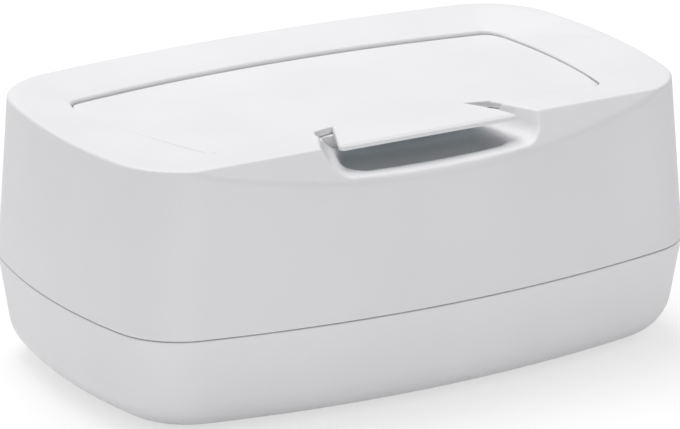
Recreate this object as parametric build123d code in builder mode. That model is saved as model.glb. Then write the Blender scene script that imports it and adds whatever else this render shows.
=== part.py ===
from build123d import *
from math import atan, cos, hypot, radians, sin, sqrt, tan
import os

os.makedirs("parts", exist_ok=True)

# Frame: origin under the middle of the feet, +X along the length, -Y towards the thumb tab, +Z up

# Overall size
length = 225.0
depth = 145.5
foot_proud = 1.2
base_height = 34.4
upper_height = 56.5
wall = 2.2

# Outline at the seam between the shells, the widest level
end_bulge = 13.2
side_bulge = 16.0
corner_radius = 26.2

# Outline at the top edge
top_inset_end = 3.5
top_inset_side = 5.9
top_end_bulge = 10.8
top_side_bulge = 10.2
top_corner_radius = 29.3
top_edge_round = 1.2

# Bottom of the base
base_draft = 0.105
base_corner_radius = 32.0
base_round = 15.5

# Seam between the two shells
seam_gap = 0.3
seam_edge_round = 0.4
seam_seal_gap = 0.5
upstand_wall = 1.6
upstand_height = 4.0
shoulder_height = 6.0
seam_seal_width = 1.7
seam_seal_height = 1.8

# Sloping brow along the front of the top
brow_inset = 7.85
brow_slope = 0.73
brow_blend = 5.0

# Lid bed: the plane of the flap falls towards the back, a little more than the rim's inner edge
rim_tilt = 3.03
lid_tilt = 3.6
lid_front = 46.0
rim_land = 1.3
rim_front_corner = 18.0

# Flap outline, seen from above
lid_half_width = 83.7
lid_widest = 30.0
lid_back = 48.6
lid_side_bulge_back = 10.9
lid_side_bulge_front = 9.2
lid_back_bulge = 9.6
lid_front_bulge = 0.4
lid_back_corner = 5.0
lid_front_corner = 4.0
lid_gap = 0.65
lid_front_gap = 0.3
lid_sunk = 0.1
lid_thickness = 2.2
lid_rest_gap = 0.25

# Thumb tab and the finger scoop under it
tab_root_half = 25.4
tab_root_y = 38.2
tab_tip_half = 34.6
tab_tip_y = 58.8
tab_drop = 1.4
tab_tip_thickness = 1.5
tab_corner_round = 1.6
scoop_back_half = 33.4
scoop_back_y = 41.0
scoop_mouth_half = 42.1
scoop_mouth_y = 59.0
scoop_side_draft = 5.0
scoop_back_depth = 7.8
scoop_lip_depth = 10.4
scoop_lip_y = 66.5
scoop_side_round = 8.0
scoop_flare_round = 20.0
scoop_lip_round = 1.5
scoop_crown = 1.7
hollow_back_half = 27.5
hollow_front_half = 34.0
hollow_back_y = 43.0
hollow_front_y = 60.5
hollow_drop = 9.0
hollow_draft = 22.0
hollow_corner = 7.0
hollow_floor_round = 3.0
hollow_rim_round = 3.5

# Pocket under the flap, with the opening that the wipes come through
pocket_shoulder = 11.0
ledge_width = 5.0
pocket_depth = 8.0
pocket_front = 36.0
pocket_end_bulge = 3.0
pocket_back_bulge = 7.0
pocket_corner = 12.0
deck_thickness = 2.0
opening_length = 112.0
opening_width = 48.0
opening_round = 23.0
opening_y = -1.5
collar_wall = 2.5
collar_height = 2.6

# Seal on the underside of the flap
seal_width = 3.0
seal_rest_gap = 0.3
rib_wall = 1.0
rib_height = 1.2
rib_clearance = 0.1

# Hinge
pin_radius = 0.75
pin_length = 16.0
pin_middle = 16.0
pin_running_gap = 0.05
pin_seat_gap = 0.02
axis_depth = 2.2
axis_from_back = 15.6
ear_wall = 2.8
ear_head_radius = 1.35
knuckle_radius = 1.5
knuckle_gap = 0.25
ear_pocket_gap = 0.25
trough_gap = 0.3

# Feet
foot_radius = 8.0
foot_thickness = 2.4
foot_x = 70.0
foot_y = 33.0
foot_gap = 0.05
foot_round = 0.6

# Levels and inner values worked out from the sizes above
seam_z = foot_proud + base_height
top_z = seam_z + upper_height
half_length = length / 2
half_depth = depth / 2
casing_bottom = seam_z + seam_gap / 2
base_top = seam_z - seam_gap / 2
upstand_inset = wall + seam_seal_gap + seam_seal_width
top_half_length = half_length - top_inset_end
top_half_depth = half_depth - top_inset_side
brow_y = top_half_depth - brow_inset
floor_inset = base_draft * base_height
tilt = radians(lid_tilt)
rim_fall = radians(rim_tilt)

# Reach of cutters past what they cut, bite of one body into the next, and limits for picking edges
clear_past = 20.0
above = 10.0
bite = 0.5
near = 0.1
nearly_across = 0.9


def circle_meeting(centre_a, radius_a, centre_b, radius_b):
    """Outer meeting point of two circles, the one with the larger x + y."""
    dx = centre_b[0] - centre_a[0]
    dy = centre_b[1] - centre_a[1]
    gap = hypot(dx, dy)
    along = (radius_a**2 - radius_b**2 + gap**2) / (2 * gap)
    across = sqrt(radius_a**2 - along**2)
    foot = (centre_a[0] + along * dx / gap, centre_a[1] + along * dy / gap)
    first = (foot[0] - across * dy / gap, foot[1] + across * dx / gap)
    second = (foot[0] + across * dy / gap, foot[1] - across * dx / gap)
    return max(first, second, key=lambda point: point[0] + point[1])


def quarter(half_x, half_y, bulge_x, bulge_y, corner):
    """Points of one quarter: long-side end, corner middle, corner end, side middle, side end."""
    radius_long = (half_x**2 + bulge_y**2) / (2 * bulge_y)
    radius_side = (half_y**2 + bulge_x**2) / (2 * bulge_x)
    centre_long = (0, half_y - radius_long)
    centre_side = (half_x - radius_side, 0)
    centre = circle_meeting(centre_long, radius_long - corner, centre_side, radius_side - corner)

    def along(start, towards, distance):
        reach = hypot(towards[0] - start[0], towards[1] - start[1])
        step = distance / reach
        return (start[0] + step * (towards[0] - start[0]), start[1] + step * (towards[1] - start[1]))

    long_end = along(centre_long, centre, radius_long)
    corner_end = along(centre_side, centre, radius_side)
    middle = ((long_end[0] + corner_end[0]) / 2, (long_end[1] + corner_end[1]) / 2)
    corner_middle = along(centre, middle, corner)
    side_chord = ((corner_end[0] + half_x) / 2, corner_end[1] / 2)
    side_middle = along(centre_side, side_chord, radius_side)
    return long_end, corner_middle, corner_end, side_middle, (half_x, 0)


def rounded_outline(half_x, back, front, bulge_x, bulge_back, bulge_front, corner_back, corner_front,
                    middle_y=0.0, bulge_x_front=None):
    """Closed outline of tangent arcs, ten edges, with its widest line at middle_y."""
    rear = quarter(half_x, back - middle_y, bulge_x, bulge_back, corner_back)
    fore = quarter(half_x, front + middle_y, bulge_x_front or bulge_x, bulge_front, corner_front)

    def place(point, side, way):
        return (side * point[0], middle_y + way * point[1])

    def half(points, way):
        long_end, corner_middle, corner_end, side_middle, side_end = points
        reach = (back - middle_y) if way > 0 else (front + middle_y)
        ThreePointArc(place(long_end, -1, way), (0, middle_y + way * reach), place(long_end, 1, way))
        for side in (-1, 1):
            ThreePointArc(place(long_end, side, way), place(corner_middle, side, way),
                          place(corner_end, side, way))
            ThreePointArc(place(corner_end, side, way), place(side_middle, side, way),
                          place(side_end, side, way))

    with BuildLine() as line:
        half(rear, 1)
        half(fore, -1)
    make_face(line.edges())


def seam_outline(inset):
    rounded_outline(half_length - inset, half_depth - inset, half_depth - inset, end_bulge,
                    side_bulge, side_bulge, corner_radius - inset, corner_radius - inset)


def top_outline(inset):
    rounded_outline(top_half_length - inset, top_half_depth - inset, top_half_depth - inset,
                    top_end_bulge, top_side_bulge, top_side_bulge,
                    top_corner_radius - inset, top_corner_radius - inset)


def floor_outline(inset):
    rounded_outline(half_length - floor_inset - inset, half_depth - floor_inset - inset,
                    half_depth - floor_inset - inset, end_bulge, side_bulge, side_bulge,
                    base_corner_radius - inset, base_corner_radius - inset)


def lid_outline(grow):
    rounded_outline(lid_half_width + grow, lid_back + grow, lid_front - lid_front_gap + grow,
                    lid_side_bulge_back, lid_back_bulge, lid_front_bulge,
                    lid_back_corner + grow, lid_front_corner + grow,
                    middle_y=lid_widest, bulge_x_front=lid_side_bulge_front)


def pocket_outline(grow):
    """Upper pocket, which holds the flap with a gap all round."""
    rounded_outline(lid_half_width + lid_gap + grow, lid_back + lid_gap + grow, lid_front + grow,
                    lid_side_bulge_back, lid_back_bulge, lid_front_bulge,
                    lid_back_corner + lid_gap, lid_front_corner + lid_gap,
                    middle_y=lid_widest, bulge_x_front=lid_side_bulge_front)


def well_outline(grow):
    """Lower pocket, inside the ledge that the flap comes down to."""
    rounded_outline(lid_half_width - pocket_shoulder + grow, lid_back + lid_gap - ledge_width + grow,
                    pocket_front + grow, pocket_end_bulge, pocket_back_bulge, lid_front_bulge,
                    pocket_corner + grow, pocket_corner + grow)


def oval(grow):
    """Dispensing opening and what follows its edge."""
    with Locations((0, opening_y)):
        RectangleRounded(opening_length + 2 * grow, opening_width + 2 * grow, opening_round + grow)


def brow_profile(shift):
    """Side view of what lies in front of the brow's plane."""
    drop = upper_height + top_edge_round
    clear = half_depth
    start = -brow_y + shift
    with BuildLine() as line:
        Polyline((start, top_z), (start - brow_slope * drop, top_z - drop),
                 (start - clear, top_z - drop), (start - clear, top_z + clear),
                 (start, top_z + clear), (start, top_z))
    make_face(line.edges())


def on_brow(edge):
    """True for an edge that lies in the brow's plane below the top."""
    points = [edge.position_at(share) for share in (near, 0.5, 1 - near)]
    offsets = [point.Y + brow_y + brow_slope * (top_z - point.Z) for point in points]
    return max(map(abs, offsets)) < near and edge.center().Z < top_z - near


def scoop_outline(back_half, mouth_half, back_y, mouth_y, far_y):
    """Scoop seen from above: flared sides, then straight out through the front."""
    with BuildLine() as line:
        Polyline((-back_half, -back_y), (-mouth_half, -mouth_y), (-mouth_half, -far_y),
                 (mouth_half, -far_y), (mouth_half, -mouth_y), (back_half, -back_y),
                 (-back_half, -back_y))
    make_face(line.edges())


# Plane of the rim's inner edge, and plane that the flap lies lid_sunk below; they meet at the front
rim_edge = Plane(origin=(0, 0, top_z - lid_front * tan(rim_fall)), x_dir=(1, 0, 0),
                 z_dir=(0, sin(rim_fall), cos(rim_fall)))
bed = Plane(origin=(0, 0, top_z - lid_front * tan(tilt)), x_dir=(1, 0, 0),
            z_dir=(0, sin(tilt), cos(tilt)))
side_view = Plane(origin=bed.origin, x_dir=bed.y_dir, z_dir=(1, 0, 0))
lid_top = -lid_sunk
lid_under = lid_top - lid_thickness
ledge = lid_under - lid_rest_gap
axis_level = lid_top - axis_depth
axis_y = lid_back - axis_from_back
trough_front = axis_y - trough_gap
trough_depth = hypot(axis_from_back, axis_depth) + axis_depth + lid_sunk + 2 * trough_gap
collar_top = -pocket_depth + collar_height
seal_low = collar_top + seal_rest_gap
ear_middles = [side * (pin_middle + way * (pin_length - ear_wall) / 2)
               for side in (-1, 1) for way in (-1, 1)]
knuckle_length = pin_length - 2 * ear_wall - 2 * knuckle_gap
axis_point = bed.from_local_coords((0, axis_y, axis_level))
print("hinge axis", [round(value, 3) for value in axis_point])

# Spaces that are cut from the upper casing
with BuildPart() as rim_dish:
    with BuildSketch(rim_edge):
        pocket_outline(-bite)
    with BuildSketch(Plane.XY.offset(top_z)):
        rounded_outline(top_half_length - rim_land, top_half_depth - rim_land, brow_y - rim_land,
                        top_end_bulge, top_side_bulge, lid_front_bulge,
                        top_corner_radius, rim_front_corner)
    loft(ruled=True)

floor_angle = atan((scoop_lip_depth - scoop_back_depth) / (scoop_lip_y - scoop_back_y))
scoop_far = scoop_lip_y + clear_past
floor_stretch = 1 / cos(floor_angle)


def scoop_sections(grow):
    """Planes and outlines of the scoop at its top and along its floor."""
    top = Plane.XY.offset(top_z + 2 * bite)
    floor = Plane(origin=(0, 0, top_z - scoop_back_depth + scoop_back_y * tan(floor_angle) - grow),
                  x_dir=(1, 0, 0), z_dir=(0, -sin(floor_angle), cos(floor_angle)))
    wide = (scoop_back_half + grow, scoop_mouth_half + grow, scoop_back_y - grow, scoop_mouth_y,
            scoop_far)
    narrow = (scoop_back_half - scoop_side_draft + grow, scoop_mouth_half - scoop_side_draft + grow,
              (scoop_back_y - grow) * floor_stretch, scoop_mouth_y * floor_stretch,
              scoop_far * floor_stretch)
    return top, wide, floor, narrow


def scoop_side_edges(edges):
    """Edges where the scoop's floor meets its two sides."""
    highest = top_z - scoop_back_depth + scoop_crown + bite
    low = [edge for edge in edges if edge.bounding_box().max.Z < highest]
    inside = [edge for edge in low if edge.center().Y > -scoop_far + bite]
    return [edge for edge in inside if abs(edge.tangent_at(0.5).X) < nearly_across]


with BuildPart() as scoop_space:
    top_plane, wide_sizes, floor_plane, narrow_sizes = scoop_sections(0)
    with BuildSketch(top_plane):
        scoop_outline(*wide_sizes)
    with BuildSketch(floor_plane):
        scoop_outline(*narrow_sizes)
    loft(ruled=True)
    across = Plane(origin=(0, -scoop_back_y, top_z - scoop_back_depth), x_dir=(1, 0, 0),
                   z_dir=(0, -cos(floor_angle), -sin(floor_angle)))
    with BuildSketch(across):
        with BuildLine() as crown_line:
            edge_out = scoop_mouth_half
            ThreePointArc((-edge_out, scoop_crown), (0, 0), (edge_out, scoop_crown))
            Polyline((edge_out, scoop_crown), (edge_out, clear_past), (-edge_out, clear_past),
                     (-edge_out, scoop_crown))
        make_face(crown_line.edges())
    extrude(amount=length, both=True, mode=Mode.INTERSECT)
    flare = [edge for edge in scoop_space.edges() if abs(edge.center().Y + scoop_mouth_y) < near]
    fillet(flare, scoop_flare_round)
    fillet(scoop_side_edges(scoop_space.edges()), scoop_side_round)

with BuildPart() as scoop_walls:
    wall_top, wall_wide, wall_floor, wall_narrow = scoop_sections(wall)
    with BuildSketch(wall_top):
        scoop_outline(*wall_wide)
    with BuildSketch(wall_floor):
        scoop_outline(*wall_narrow)
    loft(ruled=True)


def hollow_outline(grow):
    """Finger hollow sunk in the scoop's floor behind its lip, flared like the scoop."""
    back = -(hollow_back_y - grow) * floor_stretch
    front = -(hollow_front_y + grow) * floor_stretch
    narrow = hollow_back_half + grow
    wide = hollow_front_half + grow
    with BuildLine() as line:
        Polyline((-narrow, back), (-wide, front), (wide, front), (narrow, back), (-narrow, back))
    make_face(line.edges())


with BuildPart() as scoop_hollow:
    with BuildSketch(floor_plane.offset(scoop_crown)) as hollow_plan:
        hollow_outline(0)
        fillet(hollow_plan.vertices(), hollow_corner)
    extrude(amount=-(hollow_drop + scoop_crown), taper=hollow_draft)
    fillet(scoop_hollow.faces().sort_by(Axis.Z)[0].edges(), hollow_floor_round)


def hollow_rim(edges):
    """Edges where the hollow opens into the scoop's floor."""
    found = []
    for edge in edges:
        box = edge.bounding_box()
        along = -hollow_front_y - 2 * bite < box.min.Y and box.max.Y < -hollow_back_y + 2 * bite
        within = max(box.max.X, -box.min.X) < hollow_front_half
        if along and within and box.min.Z > top_z - scoop_lip_depth - 2 * bite:
            found.append(edge)
    return found


with BuildPart() as scoop_cut:
    add(scoop_space.part)
    add(scoop_hollow.part)
    fillet(hollow_rim(scoop_cut.edges()), hollow_rim_round)

with BuildPart() as hollow_walls:
    with BuildSketch(floor_plane.offset(scoop_crown)) as hollow_wall_plan:
        hollow_outline(wall)
        fillet(hollow_wall_plan.vertices(), hollow_corner + wall)
    extrude(amount=-(hollow_drop + scoop_crown + wall), taper=hollow_draft)


def trough_outline(grow):
    """Back of the pocket, which the flap's tail swings down into."""
    pocket_outline(grow)
    back = lid_back + lid_gap + grow
    with Locations((0, (trough_front - grow + back) / 2)):
        Rectangle(length, back - trough_front + grow, mode=Mode.INTERSECT)


with BuildPart() as casing_room:
    with BuildSketch(Plane.XY.offset(casing_bottom)):
        seam_outline(wall)
    with BuildSketch(Plane.XY.offset(top_z - wall)):
        top_outline(wall)
    loft(ruled=True)
    with BuildSketch(Plane.YZ):
        brow_profile(wall * sqrt(1 + brow_slope**2))
    extrude(amount=length, both=True, mode=Mode.SUBTRACT)
    add(rim_dish.part.moved(Location((0, 0, -wall))), mode=Mode.SUBTRACT)
    with BuildSketch(bed.offset(above)):
        pocket_outline(wall)
    extrude(amount=-(above - ledge + deck_thickness), mode=Mode.SUBTRACT)
    with BuildSketch(bed.offset(above)):
        well_outline(wall)
    extrude(amount=-(above + pocket_depth + deck_thickness), mode=Mode.SUBTRACT)
    with BuildSketch(bed.offset(above)):
        trough_outline(wall)
    extrude(amount=-(above + trough_depth + deck_thickness), mode=Mode.SUBTRACT)
    add(scoop_walls.part, mode=Mode.SUBTRACT)
    add(hollow_walls.part, mode=Mode.SUBTRACT)

# Upper casing: tapered shell with brow, rim, pocket, opening, scoop and hinge ears
with BuildPart() as upper_casing:
    with BuildSketch(Plane.XY.offset(casing_bottom)):
        seam_outline(0)
    with BuildSketch(Plane.XY.offset(top_z)):
        top_outline(0)
    loft(ruled=True)
    with BuildSketch(Plane.YZ):
        brow_profile(0)
    extrude(amount=length, both=True, mode=Mode.SUBTRACT)
    fillet([edge for edge in upper_casing.edges() if on_brow(edge)], brow_blend)
    fillet(upper_casing.edges().group_by(Axis.Z)[-1], top_edge_round)
    fillet(upper_casing.edges().group_by(Axis.Z)[0], seam_edge_round)
    add(scoop_cut.part, mode=Mode.SUBTRACT)
    lip = [edge for edge in upper_casing.edges()
           if on_brow(edge) and abs(edge.center().X) < scoop_mouth_half and edge.length < length / 2]
    fillet(lip, scoop_lip_round)
    add(casing_room.part, mode=Mode.SUBTRACT)
    add(rim_dish.part, mode=Mode.SUBTRACT)
    with BuildSketch(bed.offset(above)):
        pocket_outline(0)
    extrude(amount=-(above - ledge), mode=Mode.SUBTRACT)
    with BuildSketch(bed.offset(ledge + bite)):
        well_outline(0)
    extrude(amount=-(pocket_depth + ledge + bite), mode=Mode.SUBTRACT)
    with BuildSketch(bed.offset(ledge + bite)):
        trough_outline(0)
    extrude(amount=-(trough_depth + ledge + bite), mode=Mode.SUBTRACT)
    with BuildSketch(bed.offset(-pocket_depth - deck_thickness / 2)):
        oval(collar_wall)
    extrude(amount=deck_thickness / 2 + collar_height)
    with BuildSketch(bed.offset(above)):
        oval(0)
    extrude(amount=-(above + pocket_depth + 2 * deck_thickness), mode=Mode.SUBTRACT)
    for middle in ear_middles:
        with BuildSketch(side_view.offset(middle - ear_wall / 2)):
            with Locations((axis_y, axis_level)):
                Circle(ear_head_radius)
            stem_height = axis_level + pocket_depth + deck_thickness / 2
            stem_width = ear_head_radius - trough_gap
            with Locations((trough_front - stem_width / 2, axis_level - stem_height / 2)):
                Rectangle(stem_width, stem_height)
            with Locations((axis_y, axis_level)):
                Circle(pin_radius + pin_seat_gap, mode=Mode.SUBTRACT)
        extrude(amount=ear_wall)

upper_casing.part.label = "upper_casing"
export_step(upper_casing.part, "parts/upper_casing.step")

# Flap with its thumb tab, underside ribs and hinge knuckles
with BuildPart() as flap_lid:
    with BuildSketch(bed.offset(-pocket_depth)) as flap_plan:
        lid_outline(0)
        with BuildLine() as notch_line:
            flare = (scoop_mouth_half - scoop_back_half) / (scoop_mouth_y - scoop_back_y)
            notch_far = scoop_back_half + flare * (lid_front - scoop_back_y)
            Polyline((-notch_far, -lid_front), (-scoop_back_half, -scoop_back_y),
                     (-tab_root_half, -tab_root_y), (tab_root_half, -tab_root_y),
                     (scoop_back_half, -scoop_back_y), (notch_far, -lid_front),
                     (-notch_far, -lid_front))
        make_face(notch_line.edges(), mode=Mode.SUBTRACT)
        with BuildLine() as tab_line:
            Polyline((-tab_root_half, -tab_root_y + bite), (-tab_root_half, -tab_root_y),
                     (-tab_tip_half, -tab_tip_y), (tab_tip_half, -tab_tip_y),
                     (tab_root_half, -tab_root_y), (tab_root_half, -tab_root_y + bite),
                     (-tab_root_half, -tab_root_y + bite))
        make_face(tab_line.edges())
        tips = [corner for corner in flap_plan.vertices() if corner.Y < -tab_tip_y + near]
        fillet(tips, tab_corner_round)
    extrude(amount=pocket_depth + above)
    with BuildSketch(side_view):
        tip_under = lid_top - tab_drop - tab_tip_thickness
        with BuildLine() as lid_side:
            Line((lid_back + bite, lid_top), (-tab_root_y, lid_top))
            TangentArc((-tab_root_y, lid_top), (-tab_tip_y, lid_top - tab_drop), tangent=(-1, 0))
            Line((-tab_tip_y, lid_top - tab_drop), (-tab_tip_y, tip_under))
            TangentArc((-tab_root_y, lid_under), (-tab_tip_y, tip_under), tangent=(-1, 0))
            Line((-tab_root_y, lid_under), (lid_back + bite, lid_under))
            Line((lid_back + bite, lid_under), (lid_back + bite, lid_top))
        make_face(lid_side.edges())
    extrude(amount=length, both=True, mode=Mode.INTERSECT)
    for inner, outer in ((-rib_clearance - rib_wall, -rib_clearance),
                         (seal_width + rib_clearance, seal_width + rib_clearance + rib_wall)):
        offset_in = (collar_wall - seal_width) / 2
        with BuildSketch(bed.offset(lid_under)):
            oval(outer + offset_in)
            with Locations((0, opening_y)):
                RectangleRounded(opening_length + 2 * (inner + offset_in),
                                 opening_width + 2 * (inner + offset_in),
                                 opening_round + inner + offset_in, mode=Mode.SUBTRACT)
        extrude(amount=-rib_height)
    for side in (-1, 1):
        with BuildSketch(side_view.offset(side * pin_middle - knuckle_length / 2)):
            with Locations((axis_y, axis_level)):
                Circle(knuckle_radius)
        extrude(amount=knuckle_length)
        with BuildSketch(side_view.offset(side * pin_middle - pin_length / 2 - bite)):
            with Locations((axis_y, axis_level)):
                Circle(pin_radius + pin_running_gap)
        extrude(amount=pin_length + 2 * bite, mode=Mode.SUBTRACT)
    for middle in ear_middles:
        cut_width = ear_wall + 2 * knuckle_gap
        with BuildSketch(side_view.offset(middle - cut_width / 2)):
            with Locations((axis_y, axis_level)):
                Circle(ear_head_radius + ear_pocket_gap)
        extrude(amount=cut_width, mode=Mode.SUBTRACT)

flap_lid.part.label = "flap_lid"
export_step(flap_lid.part, "parts/flap_lid.step")

# Soft ring between the ribs, which closes on the collar
with BuildPart() as lid_seal:
    with BuildSketch(bed.offset(seal_low)):
        oval((collar_wall + seal_width) / 2)
        with Locations((0, opening_y)):
            inner = (collar_wall - seal_width) / 2
            RectangleRounded(opening_length + 2 * inner, opening_width + 2 * inner,
                             opening_round + inner, mode=Mode.SUBTRACT)
    extrude(amount=lid_under - seal_low)

lid_seal.part.label = "lid_seal"
export_step(lid_seal.part, "parts/lid_seal.step")

# Two short hinge pins
for side, name in ((-1, "hinge_pin_left"), (1, "hinge_pin_right")):
    with BuildPart() as hinge_pin:
        with BuildSketch(side_view.offset(side * pin_middle - pin_length / 2)):
            with Locations((axis_y, axis_level)):
                Circle(pin_radius)
        extrude(amount=pin_length)
    hinge_pin.part.label = name
    export_step(hinge_pin.part, f"parts/{name}.step")

# Base tray: round-bottomed shell with a shoulder, an upstand and four foot recesses
foot_places = [("foot_front_left", -1, -1), ("foot_front_right", 1, -1),
               ("foot_back_left", -1, 1), ("foot_back_right", 1, 1)]
with BuildPart() as tray_room:
    with BuildSketch(Plane.XY.offset(foot_proud + wall)):
        floor_outline(wall)
    with BuildSketch(Plane.XY.offset(base_top)):
        seam_outline(wall)
    loft(ruled=True)
    fillet(tray_room.edges().group_by(Axis.Z)[0], base_round - wall)

with BuildPart() as base_tray:
    with BuildSketch(Plane.XY.offset(foot_proud)):
        floor_outline(0)
    with BuildSketch(Plane.XY.offset(base_top)):
        seam_outline(0)
    loft(ruled=True)
    fillet(base_tray.edges().group_by(Axis.Z)[0], base_round)
    fillet(base_tray.edges().group_by(Axis.Z)[-1], seam_edge_round)
    add(tray_room.part, mode=Mode.SUBTRACT)
    with BuildSketch(Plane.XY.offset(base_top - shoulder_height)):
        seam_outline(wall - bite)
    extrude(amount=shoulder_height)
    with BuildSketch(Plane.XY.offset(base_top)):
        seam_outline(upstand_inset)
    extrude(amount=upstand_height)
    with BuildSketch(Plane.XY.offset(base_top - shoulder_height)):
        seam_outline(upstand_inset + upstand_wall)
    extrude(amount=shoulder_height + upstand_height, mode=Mode.SUBTRACT)
    for name, side, way in foot_places:
        with BuildSketch(Plane.XY.offset(foot_proud)):
            with Locations((side * foot_x, way * foot_y)):
                Circle(foot_radius + foot_gap)
        extrude(amount=foot_thickness - foot_proud, mode=Mode.SUBTRACT)

base_tray.part.label = "base_tray"
export_step(base_tray.part, "parts/base_tray.step")

# Soft ring that lies on the shoulder, round the upstand
with BuildPart() as seam_seal:
    with BuildSketch(Plane.XY.offset(base_top)):
        seam_outline(upstand_inset - seam_seal_width)
    extrude(amount=seam_seal_height)
    with BuildSketch(Plane.XY.offset(base_top)):
        seam_outline(upstand_inset)
    extrude(amount=seam_seal_height, mode=Mode.SUBTRACT)

seam_seal.part.label = "seam_seal"
export_step(seam_seal.part, "parts/seam_seal.step")

# Four soft feet
for name, side, way in foot_places:
    with BuildPart() as foot:
        with BuildSketch():
            with Locations((side * foot_x, way * foot_y)):
                Circle(foot_radius)
        extrude(amount=foot_thickness)
        fillet(foot.edges().group_by(Axis.Z)[0], foot_round)
    foot.part.label = name
    export_step(foot.part, f"parts/{name}.step")
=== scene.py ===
from math import cos, radians, sin, tan

import bmesh
import bpy
from bpy.props import FloatProperty, FloatVectorProperty, PointerProperty
from mathutils import Matrix, Vector


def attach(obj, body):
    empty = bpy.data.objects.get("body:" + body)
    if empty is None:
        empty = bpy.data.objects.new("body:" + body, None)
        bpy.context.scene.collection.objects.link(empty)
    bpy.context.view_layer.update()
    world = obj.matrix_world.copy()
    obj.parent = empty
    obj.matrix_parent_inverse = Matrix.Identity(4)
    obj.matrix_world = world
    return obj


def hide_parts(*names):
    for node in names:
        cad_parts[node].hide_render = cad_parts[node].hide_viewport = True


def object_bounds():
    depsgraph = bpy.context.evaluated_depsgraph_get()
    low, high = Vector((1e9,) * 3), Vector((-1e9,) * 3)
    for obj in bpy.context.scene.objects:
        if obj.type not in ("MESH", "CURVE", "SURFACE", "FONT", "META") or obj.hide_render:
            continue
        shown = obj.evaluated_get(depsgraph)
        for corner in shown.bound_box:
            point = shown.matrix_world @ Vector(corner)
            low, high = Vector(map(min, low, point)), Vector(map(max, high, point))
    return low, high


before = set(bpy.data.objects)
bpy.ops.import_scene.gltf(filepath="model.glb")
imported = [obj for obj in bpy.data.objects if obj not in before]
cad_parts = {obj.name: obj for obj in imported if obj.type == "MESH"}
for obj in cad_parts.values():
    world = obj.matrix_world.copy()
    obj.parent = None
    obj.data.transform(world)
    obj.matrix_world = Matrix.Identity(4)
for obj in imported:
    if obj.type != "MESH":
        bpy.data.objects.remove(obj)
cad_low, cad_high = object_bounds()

bl_info = {
    "name": "Wipes Box",
    "version": (1, 0, 0),
    "blender": (4, 5, 0),
    "location": "3D View > Sidebar > Wipes Box",
    "description": "Builds the looks of a moulded wipes box round its packed model",
    "category": "Object",
}

MM = 0.001

# Places on the box, from its middle: the flap's front edge and its fall toward the back, the depth
# under the flap's top that still counts as on top, the tab's root and the scoop's back and half width
FLAP_FRONT = 46 * MM
FLAP_FALL = tan(radians(3.6))
TOP_DEPTH = 0.5 * MM
TAB_ROOT = -38.2 * MM
SCOOP_BACK = -40 * MM
SCOOP_HALF = 47 * MM

# Soft borders of the painted shadow under the tab in the finger hollow, each from where it is 0 to
# where it is full
PAINTED_SHADE_SIDES = (31 * MM, 24 * MM)
PAINTED_SHADE_FRONT = (-65 * MM, -59 * MM)
PAINTED_SHADE_BACK = (-39 * MM, -40.5 * MM)
PAINTED_SHADE_TOP = (89 * MM, 83 * MM)
PAINTED_SHADE_FLOOR = (75 * MM, 83 * MM)
# Least share of the painted shadow low down in the hollow
PAINTED_SHADE_LEAST = 0.1

# Mesh work: points that are merged, flat faces that are joined, edges to round and edges kept crisp
MERGE_GAP = 0.002 * MM
CASING_FLAT = radians(0.03)
FLAP_FLAT = radians(0.3)
SHARP = radians(28)
CRISP = radians(32)

# Upward part of a face's normal: at least LEVEL on a level face, at most UPRIGHT on an upright one
# and at most STEEP on one that falls away
LEVEL = 0.85
UPRIGHT = 0.3
STEEP = 0.5

# Shares of the full round, and the distance behind the flap's front over which the rim's share grows
LEAST_SHARE = 0.2
TAB_SHARE = 0.7
RIM_RISE = 70 * MM

# Stage, in metres: where the lamps hang, how wide they are and the point they face
OVERHEAD_PLACE = (0.0, 0.58, 1.72)
OVERHEAD_WIDTH = 1.3
FRONT_PLACE = (-0.85, -1.75, 0.15)
FRONT_WIDTH = 0.28
LAMP_AIM = (0, 0, 0.05)
FLOOR_WIDTH = 12

# Floor greys: the paper as it lights the box, and the paper and its glow as the camera sees them
PAPER_DULL = 0.93
PAPER_BRIGHT = 0.94
SEEN_PAPER = 0.40
SEEN_GLOW = 0.62


# Sizes and colours a user would change


class ShellSettings(bpy.types.PropertyGroup):
    """White moulded shells: their colour, gloss, grain and rounded edges."""

    color: FloatVectorProperty(
        name="Plastic colour", description="Colour of the two shells and the flap",
        subtype="COLOR", size=3, min=0, max=1, default=(0.84, 0.835, 0.852))
    # Painted shade: the duller, cooler colour painted into the finger hollow as the tab's shadow
    painted_shade_color: FloatVectorProperty(
        name="Painted shade colour", description="Duller, cooler tone down in the finger hollow",
        subtype="COLOR", size=3, min=0, max=1, default=(0.42, 0.475, 0.495))
    roughness: FloatProperty(
        name="Roughness", description="Blur of the reflections on the satin plastic",
        default=0.5, min=0, max=1, subtype="FACTOR")
    grain_size: FloatProperty(
        name="Grain size", description="Size of the mould's fine spark-eroded grain",
        default=0.35 * MM, min=0.01 * MM, unit="LENGTH", precision=5)
    grain_depth: FloatProperty(
        name="Grain depth", description="Depth of the fine grain",
        default=0.004 * MM, min=0, unit="LENGTH", precision=6)
    rim_round: FloatProperty(
        name="Rim round", description="How far the round on the edges along the flap's gap reaches",
        default=1.0 * MM, min=0, unit="LENGTH", precision=5)
    tab_round: FloatProperty(
        name="Tab round", description="How far the round on the thumb tab's front edge reaches",
        default=1.1 * MM, min=0, unit="LENGTH", precision=5)


class SoftSettings(bpy.types.PropertyGroup):
    """Soft seals and feet."""

    seal_color: FloatVectorProperty(
        name="Seal colour", description="Colour of the two silicone seals",
        subtype="COLOR", size=3, min=0, max=1, default=(0.60, 0.61, 0.63))
    foot_color: FloatVectorProperty(
        name="Foot colour", description="Colour of the rubber feet",
        subtype="COLOR", size=3, min=0, max=1, default=(0.40, 0.41, 0.43))


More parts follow.
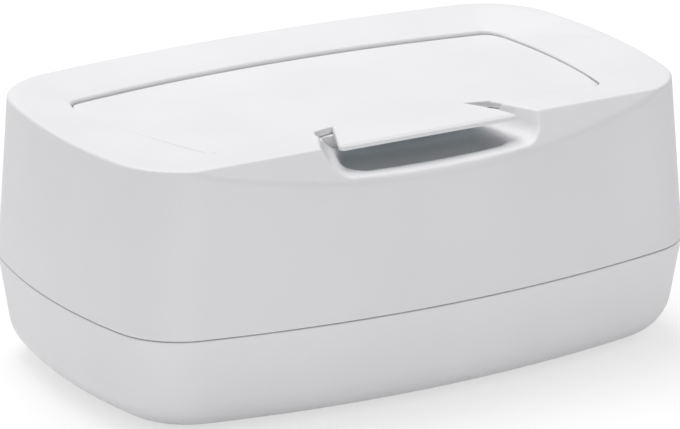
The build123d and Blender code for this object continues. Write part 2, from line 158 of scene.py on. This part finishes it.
class PinSettings(bpy.types.PropertyGroup):
    """Steel hinge pins."""

    color: FloatVectorProperty(
        name="Steel colour", description="Colour of the drawn steel pins",
        subtype="COLOR", size=3, min=0, max=1, default=(0.60, 0.60, 0.61))
    roughness: FloatProperty(
        name="Roughness", description="Blur of the reflections on the steel",
        default=0.32, min=0, max=1, subtype="FACTOR")


class StageSettings(bpy.types.PropertyGroup):
    """Camera, lights and floor."""

    azimuth: FloatProperty(
        name="Azimuth", description="Direction the camera looks from, round the box",
        default=radians(-29.96), unit="ROTATION")
    elevation: FloatProperty(
        name="Elevation", description="Height of the camera's view above the horizon",
        default=radians(18.69), unit="ROTATION")
    roll: FloatProperty(
        name="Roll", description="Turn of the camera about its own line of sight",
        default=radians(-0.13), unit="ROTATION")
    distance: FloatProperty(
        name="Distance", description="From the camera to the middle of the box",
        default=1.79993, unit="LENGTH")
    aim: FloatVectorProperty(
        name="Aim", description="Point that the camera is set up round",
        default=(0.0, 0.0, 45.2 * MM), size=3, subtype="TRANSLATION", unit="LENGTH")
    slide: FloatVectorProperty(
        name="Slide", description="Shift of the camera to its right and up",
        default=(-0.46 * MM, 0.17 * MM), size=2, unit="LENGTH")
    lens: FloatProperty(
        name="Lens", description="Focal length in millimetres for a 36 mm sensor",
        default=280.5, min=1)
    sky: FloatProperty(
        name="Sky", description="Strength of the even light from all round",
        default=0.45, min=0)
    overhead: FloatProperty(
        name="Overhead", description="Power of the large soft light above and behind the box, in watts",
        default=22.0, min=0)
    front: FloatProperty(
        name="Front", description="Power of the soft light in front of the box, in watts",
        default=4.3, min=0)


# Shader maths


class Field:
    """A shader socket that takes part in plain arithmetic."""

    def __init__(self, finish, socket):
        self.finish = finish
        self.socket = socket

    def maths(self, operation, first, second):
        return self.finish.node("ShaderNodeMath", {"operation": operation}, {0: first, 1: second})

    def __add__(self, other):
        return self.maths("ADD", self, other)

    __radd__ = __add__

    def __sub__(self, other):
        return self.maths("SUBTRACT", self, other)

    def __rsub__(self, other):
        return self.maths("SUBTRACT", other, self)

    def __mul__(self, other):
        return self.maths("MULTIPLY", self, other)

    __rmul__ = __mul__

    def __abs__(self):
        return self.finish.node("ShaderNodeMath", {"operation": "ABSOLUTE"}, {0: self})

    def swing(self, reach):
        """Turns noise from 0 to 1 into a swing round 0 that is reach wide."""
        return (self - 0.5) * reach

    def smooth(self, low, high):
        """0 at low and 1 at high, whichever is larger, with a soft step between."""
        settings = {"interpolation_type": "SMOOTHSTEP"}
        return self.finish.node("ShaderNodeMapRange", settings, {0: self, 1: low, 2: high})


class Finish:
    """A material, built one node at a time."""

    def __init__(self, name):
        self.material = bpy.data.materials.new(name)
        self.material.use_nodes = True
        self.tree = self.material.node_tree
        self.shader = self.tree.nodes["Principled BSDF"]
        self.place = self.node("ShaderNodeTexCoord", output="Object")

    def node(self, kind, settings=None, values=None, output=0):
        made = self.tree.nodes.new(kind)
        for name, value in (settings or {}).items():
            setattr(made, name, value)
        for name, value in (values or {}).items():
            self.join(value, made.inputs[name])
        return Field(self, made.outputs[output])

    def parts(self, vector):
        """The three numbers of a vector."""
        split = self.node("ShaderNodeSeparateXYZ", values={"Vector": vector})
        return [Field(self, output) for output in split.socket.node.outputs]

    def join(self, value, socket):
        if isinstance(value, Field):
            self.tree.links.new(value.socket, socket)
        else:
            socket.default_value = value

    def feed(self, **values):
        for name, value in values.items():
            self.join(value, self.shader.inputs[name.replace("_", " ")])

    def noise(self, size, detail=2.0, where=None):
        """Noise whose features are about size metres across, from 0 to 1."""
        values = {"Vector": where or self.place, "Scale": 1 / size, "Detail": detail}
        return self.node("ShaderNodeTexNoise", values=values)

    def blend(self, share, first, second):
        """A colour between two others."""
        return self.node("ShaderNodeMix", {"data_type": "RGBA"},
                         {"Factor": share, 6: first, 7: second}, output=2)

    def mottle(self, share, color, darkest, lightest):
        """A colour that wanders between two shares of its own brightness."""
        return self.blend(share, shade(color, darkest), shade(color, lightest))

    def bump(self, height, depth, under=None):
        values = {"Height": height, "Distance": depth, "Strength": 1.0}
        if under is not None:
            values["Normal"] = under
        return self.node("ShaderNodeBump", values=values)


def shade(color, share):
    """A colour times a number, with full alpha."""
    return (*[min(1.0, channel * share) for channel in color], 1.0)


def grey(level):
    return (level, level, level, 1)


def moulded_plastic(name, settings, hollow=False):
    """White satin plastic with fine mould grain, faint sink and handling marks.

    With hollow, the finger hollow gets painted shade: the colour turns duller and cooler there, a
    painted shadow of the tab.
    """
    finish = Finish(name)
    grain = finish.noise(settings.grain_size, detail=3.0)
    cloud = finish.noise(size=45 * MM)
    marks = finish.noise(size=9 * MM, detail=4.0)
    wave = finish.noise(size=60 * MM, detail=0.0)
    tint = finish.mottle(cloud.smooth(0.3, 0.7), settings.color, darkest=0.985, lightest=1.01)
    # Painted shadow: blends the colour toward the painted shade colour under the tab
    if hollow:
        tint = finish.blend(painted_shade_under_tab(finish), tint, (*settings.painted_shade_color, 1))
    sink = finish.bump(wave, depth=0.05 * MM)
    finish.feed(Base_Color=tint, IOR=1.49,
                Roughness=settings.roughness + marks.swing(0.10) + cloud.swing(0.08),
                Normal=finish.bump(grain, settings.grain_depth, under=sink))
    return finish.material


def painted_shade_under_tab(finish):
    """Mask of the painted shadow under the tab: 1 high in the finger hollow under the tab, less low
    down and 0 outside it.
    """
    across, along, up = finish.parts(finish.place)
    sides = abs(across).smooth(*PAINTED_SHADE_SIDES)
    depth = along.smooth(*PAINTED_SHADE_FRONT) * along.smooth(*PAINTED_SHADE_BACK)
    fade = PAINTED_SHADE_LEAST + (1 - PAINTED_SHADE_LEAST) * up.smooth(*PAINTED_SHADE_FLOOR)
    return sides * depth * up.smooth(*PAINTED_SHADE_TOP) * fade


def soft_silicone(name, color):
    """Matt silicone with a fine powdery surface."""
    finish = Finish(name)
    grain = finish.noise(size=0.25 * MM, detail=3.0)
    dust = finish.noise(size=6 * MM, detail=4.0)
    tint = finish.mottle(dust.smooth(0.35, 0.75), color, darkest=0.96, lightest=1.05)
    finish.feed(Base_Color=tint, Roughness=0.62 + dust.swing(0.16), IOR=1.41,
                Normal=finish.bump(grain, depth=0.006 * MM))
    return finish.material


def foot_rubber(name, color):
    """Grey rubber with a pebbled surface, scuffed where it has been slid."""
    finish = Finish(name)
    pebble = finish.noise(size=0.6 * MM, detail=4.0)
    scuff = finish.noise(size=2.5 * MM, detail=5.0)
    tint = finish.mottle(scuff.smooth(0.45, 0.8), color, darkest=0.94, lightest=1.16)
    finish.feed(Base_Color=tint, Roughness=0.74 + scuff.swing(0.2), IOR=1.52,
                Normal=finish.bump(pebble, depth=0.03 * MM))
    return finish.material


def drawn_steel(name, settings):
    """Drawn pin, with fine lines along its length."""
    finish = Finish(name)
    drawn = finish.node("ShaderNodeMapping",
                        values={"Vector": finish.place, "Scale": (0.04, 1.0, 1.0)})
    lines = finish.noise(size=0.08 * MM, detail=3.0, where=drawn)
    tint = finish.mottle(lines, settings.color, darkest=0.93, lightest=1.06)
    finish.feed(Base_Color=tint, Metallic=1.0, Roughness=settings.roughness + lines.swing(0.2),
                Normal=finish.bump(lines, depth=0.003 * MM))
    return finish.material


# Mesh work


def take(piece):
    """Selects one object and nothing else."""
    bpy.ops.object.select_all(action="DESELECT")
    piece.select_set(True)
    bpy.context.view_layer.objects.active = piece


def dress(piece, material):
    piece.data.materials.clear()
    piece.data.materials.append(material)


def copy_of(node, name, flat):
    """A copy of a CAD node's mesh in one skin, with faces joined that turn by less than flat."""
    piece = bpy.data.objects.new(name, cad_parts[node].data.copy())
    bpy.context.scene.collection.objects.link(piece)
    take(piece)
    bpy.ops.object.mode_set(mode="EDIT")
    bpy.ops.mesh.select_all(action="SELECT")
    bpy.ops.mesh.remove_doubles(threshold=MERGE_GAP)
    bpy.ops.mesh.customdata_custom_splitnormals_clear()
    bpy.ops.mesh.dissolve_limited(angle_limit=flat, use_dissolve_boundaries=False)
    bpy.ops.mesh.select_all(action="DESELECT")
    bpy.ops.object.mode_set(mode="OBJECT")
    return piece


def round_edges(piece, width, share_of, segments=4):
    """Rounds sharp convex edges. share_of gives each its share of width, or 0 to leave it."""
    take(piece)
    bpy.ops.object.mode_set(mode="EDIT")
    bpy.ops.mesh.select_mode(type="EDGE")
    shares = {}
    mesh = bmesh.from_edit_mesh(piece.data)
    for edge in mesh.edges:
        if len(edge.link_faces) == 2 and edge.is_convex and edge.calc_face_angle() > SHARP:
            middle = (edge.verts[0].co + edge.verts[1].co) / 2
            lower, upper = sorted((face.normal for face in edge.link_faces), key=lambda way: way.z)
            share = round(share_of(middle, upper, lower), 1)
            if share:
                shares.setdefault(share, []).append(edge.index)
    if not shares:
        raise RuntimeError(f"{piece.name}: no edge to round")
    for share, edges in sorted(shares.items()):
        bpy.ops.mesh.select_all(action="DESELECT")
        mesh = bmesh.from_edit_mesh(piece.data)
        mesh.edges.ensure_lookup_table()
        for index in edges:
            mesh.edges[index].select = True
        bmesh.update_edit_mesh(piece.data)
        bpy.ops.transform.edge_bevelweight(value=share)
    bpy.ops.mesh.select_all(action="DESELECT")
    bpy.ops.object.mode_set(mode="OBJECT")
    bevel = piece.modifiers.new("rounds", "BEVEL")
    bevel.limit_method = "WEIGHT"
    bevel.width = width
    bevel.segments = segments
    bevel.use_clamp_overlap = False
    bpy.ops.object.modifier_apply(modifier=bevel.name)


def finish_skin(piece):
    """Smooth shading that keeps flat faces flat."""
    take(piece)
    bpy.ops.object.shade_smooth_by_angle(angle=CRISP)
    weight = piece.modifiers.new("weight", "WEIGHTED_NORMAL")
    weight.keep_sharp = True
    weight.weight = 80
    bpy.ops.object.modifier_apply(modifier=weight.name)


def stand_for(piece, node, body, material):
    """Puts a finished piece in a CAD node's place."""
    dress(piece, material)
    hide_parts(node)
    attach(piece, body)


def flap_level(y):
    """Height of the flap's top at a distance y behind the middle of the box."""
    return cad_high[2] - (y + FLAP_FRONT) * FLAP_FALL


def on_top(middle, upper, lower):
    """Whether an edge lies at the flap's level, between a level face and an upright one."""
    at_top = middle.z > flap_level(middle.y) - TOP_DEPTH
    return at_top and upper.z > LEVEL and abs(lower.z) < UPRIGHT


# Operators, one for each piece or group of like pieces


class WIPESBOX_OT_base_tray(bpy.types.Operator):
    """Lower shell with its rounded edges and white plastic"""

    bl_idname = "wipes_box.base_tray"
    bl_label = "Base tray"

    def execute(self, context):
        plastic = moulded_plastic("base_plastic", context.scene.wipes_shell)
        dress(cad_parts["base_tray"], plastic)
        return {"FINISHED"}


class WIPESBOX_OT_upper_casing(bpy.types.Operator):
    """Upper shell with its rim, pocket, opening and finger scoop"""

    bl_idname = "wipes_box.upper_casing"
    bl_label = "Upper casing"

    def execute(self, context):
        settings = context.scene.wipes_shell
        shell = copy_of("upper_casing", "upper_shell", CASING_FLAT)
        round_edges(shell, settings.rim_round, self.rim_share)
        finish_skin(shell)
        # hollow=True paints the tab's shadow into the finger hollow as a duller, cooler colour
        plastic = moulded_plastic("casing_plastic", settings, hollow=True)
        stand_for(shell, "upper_casing", "casing", plastic)
        return {"FINISHED"}

    def rim_share(self, middle, upper, lower):
        """Picks the rim round the pocket, short of the scoop, and rounds it most at the back."""
        by_scoop = abs(middle.x) < SCOOP_HALF and middle.y < SCOOP_BACK
        if by_scoop or not on_top(middle, upper, lower):
            return 0
        return LEAST_SHARE + (1 - LEAST_SHARE) * min(1, (middle.y + FLAP_FRONT) / RIM_RISE)


class WIPESBOX_OT_flap(bpy.types.Operator):
    """Flap with its thumb tab, ribs and knuckles"""

    bl_idname = "wipes_box.flap"
    bl_label = "Flap"

    def execute(self, context):
        settings = context.scene.wipes_shell
        flap = copy_of("flap_lid", "flap_shell", FLAP_FLAT)
        round_edges(flap, settings.tab_round, self.tab_share)
        finish_skin(flap)
        plastic = moulded_plastic("flap_plastic", settings)
        stand_for(flap, "flap_lid", "lid", plastic)
        return {"FINISHED"}

    def tab_share(self, middle, upper, lower):
        """Most on the tab's top edges, little on its underside and on the flap's edge."""
        if middle.y > TAB_ROOT:
            return LEAST_SHARE if on_top(middle, upper, lower) else 0
        if upper.z > LEVEL and lower.z < STEEP:
            return TAB_SHARE
        return LEAST_SHARE if lower.z < -LEVEL and upper.z > -STEEP else 0


class WIPESBOX_OT_seals(bpy.types.Operator):
    """Silicone rings under the flap and between the shells"""

    bl_idname = "wipes_box.seals"
    bl_label = "Seals"

    def execute(self, context):
        silicone = soft_silicone("seal_silicone", context.scene.wipes_soft.seal_color)
        for name in ("lid_seal", "seam_seal"):
            dress(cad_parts[name], silicone)
        return {"FINISHED"}


class WIPESBOX_OT_pins(bpy.types.Operator):
    """Two drawn steel pins that the flap turns on"""

    bl_idname = "wipes_box.pins"
    bl_label = "Hinge pins"

    def execute(self, context):
        steel = drawn_steel("pin_steel", context.scene.wipes_pin)
        for name in ("hinge_pin_left", "hinge_pin_right"):
            dress(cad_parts[name], steel)
        return {"FINISHED"}


class WIPESBOX_OT_feet(bpy.types.Operator):
    """Four rubber feet"""

    bl_idname = "wipes_box.feet"
    bl_label = "Feet"

    def execute(self, context):
        rubber = foot_rubber("foot_rubber", context.scene.wipes_soft.foot_color)
        for name in ("foot_front_left", "foot_front_right", "foot_back_left", "foot_back_right"):
            dress(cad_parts[name], rubber)
        return {"FINISHED"}


class WIPESBOX_OT_stage(bpy.types.Operator):
    """Floor, soft studio light and the camera at the photograph's view"""

    bl_idname = "wipes_box.stage"
    bl_label = "Stage"

    def execute(self, context):
        stage = context.scene.wipes_stage
        self.floor()
        self.sky(context, stage)
        self.lamp("overhead", OVERHEAD_PLACE, OVERHEAD_WIDTH, stage.overhead)
        self.lamp("front", FRONT_PLACE, FRONT_WIDTH, stage.front)
        self.camera(context, stage)
        context.scene.view_settings.view_transform = "Standard"
        return {"FINISHED"}

    def floor(self):
        bpy.ops.object.select_all(action="DESELECT")
        bpy.ops.mesh.primitive_plane_add(size=FLOOR_WIDTH)
        floor = bpy.context.active_object
        floor.name = "floor"
        paper = Finish("floor_paper")
        speck = paper.noise(size=3 * MM)
        seen = paper.node("ShaderNodeLightPath", output="Is Camera Ray")
        for kind in ("Is Glossy Ray", "Is Transmission Ray"):
            seen = paper.node("ShaderNodeMath", {"operation": "MAXIMUM"},
                              {0: seen, 1: paper.node("ShaderNodeLightPath", output=kind)})
        glow = paper.blend(seen, grey(0), grey(SEEN_GLOW))
        plain = paper.blend(speck, grey(PAPER_DULL), grey(PAPER_BRIGHT))
        paper.feed(Base_Color=paper.blend(seen, plain, grey(SEEN_PAPER)), Roughness=0.9,
                   Emission_Color=glow, Emission_Strength=1.0, Specular_IOR_Level=0.2)
        dress(floor, paper.material)

    def sky(self, context, stage):
        world = bpy.data.worlds.new("studio")
        context.scene.world = world
        world.use_nodes = True
        tree = world.node_tree
        path = tree.nodes.new("ShaderNodeLightPath")
        seen = tree.nodes.new("ShaderNodeMath")
        seen.operation = "MAXIMUM"
        tree.links.new(path.outputs["Is Camera Ray"], seen.inputs[0])
        tree.links.new(path.outputs["Is Transmission Ray"], seen.inputs[1])
        strength = tree.nodes.new("ShaderNodeMapRange")
        strength.inputs["To Min"].default_value = stage.sky
        strength.inputs["To Max"].default_value = 1.0
        tree.links.new(seen.outputs[0], strength.inputs["Value"])
        background = tree.nodes["Background"]
        background.inputs["Color"].default_value = (1, 1, 1, 1)
        tree.links.new(strength.outputs["Result"], background.inputs["Strength"])

    def lamp(self, name, place, width, power):
        data = bpy.data.lights.new(name, "AREA")
        data.shape = "DISK"
        data.size = width
        data.energy = power
        lamp = bpy.data.objects.new(name, data)
        lamp.location = place
        away = Vector(place) - Vector(LAMP_AIM)
        lamp.rotation_euler = away.to_track_quat("Z", "Y").to_euler()
        bpy.context.scene.collection.objects.link(lamp)

    def camera(self, context, stage):
        turn, lift, roll = stage.azimuth, stage.elevation, stage.roll
        back = Vector((sin(turn) * cos(lift), -cos(turn) * cos(lift), sin(lift)))
        right = Vector((cos(turn), sin(turn), 0))
        up = back.cross(right)
        right_rolled = right * cos(roll) + up * sin(roll)
        up_rolled = up * cos(roll) - right * sin(roll)
        data = bpy.data.cameras.new("camera")
        data.sensor_fit = "HORIZONTAL"
        data.sensor_width = 36
        data.lens = stage.lens
        data.clip_start = 0.1
        data.clip_end = 100
        camera = bpy.data.objects.new("camera", data)
        context.scene.collection.objects.link(camera)
        eye = Vector(stage.aim) + back * stage.distance
        eye += right_rolled * stage.slide[0] + up_rolled * stage.slide[1]
        turned = Matrix((right_rolled, up_rolled, back)).transposed().to_4x4()
        camera.matrix_world = Matrix.Translation(eye) @ turned
        context.scene.camera = camera


class WIPESBOX_PT_panel(bpy.types.Panel):
    """Lists the operators and the settings"""

    bl_idname = "WIPESBOX_PT_panel"
    bl_label = "Wipes Box"
    bl_space_type = "VIEW_3D"
    bl_region_type = "UI"
    bl_category = "Wipes Box"

    def draw(self, context):
        layout = self.layout
        for operator in OPERATORS:
            layout.operator(operator.bl_idname)
        for group in (context.scene.wipes_shell, context.scene.wipes_soft, context.scene.wipes_pin,
                      context.scene.wipes_stage):
            box = layout.box()
            for name in group.__annotations__:
                box.prop(group, name)


OPERATORS = (WIPESBOX_OT_base_tray, WIPESBOX_OT_upper_casing, WIPESBOX_OT_flap, WIPESBOX_OT_seals,
             WIPESBOX_OT_pins, WIPESBOX_OT_feet, WIPESBOX_OT_stage)
SETTINGS = {"wipes_shell": ShellSettings, "wipes_soft": SoftSettings, "wipes_pin": PinSettings,
            "wipes_stage": StageSettings}


def register():
    for made in (*SETTINGS.values(), *OPERATORS, WIPESBOX_PT_panel):
        bpy.utils.register_class(made)
    for name, made in SETTINGS.items():
        setattr(bpy.types.Scene, name, PointerProperty(type=made))


def unregister():
    for name in SETTINGS:
        delattr(bpy.types.Scene, name)
    for made in (WIPESBOX_PT_panel, *reversed(OPERATORS), *SETTINGS.values()):
        bpy.utils.unregister_class(made)


def main():
    register()
    for operator in OPERATORS:
        group, name = operator.bl_idname.split(".")
        getattr(getattr(bpy.ops, group), name)()


if __name__ == "__main__":
    main()
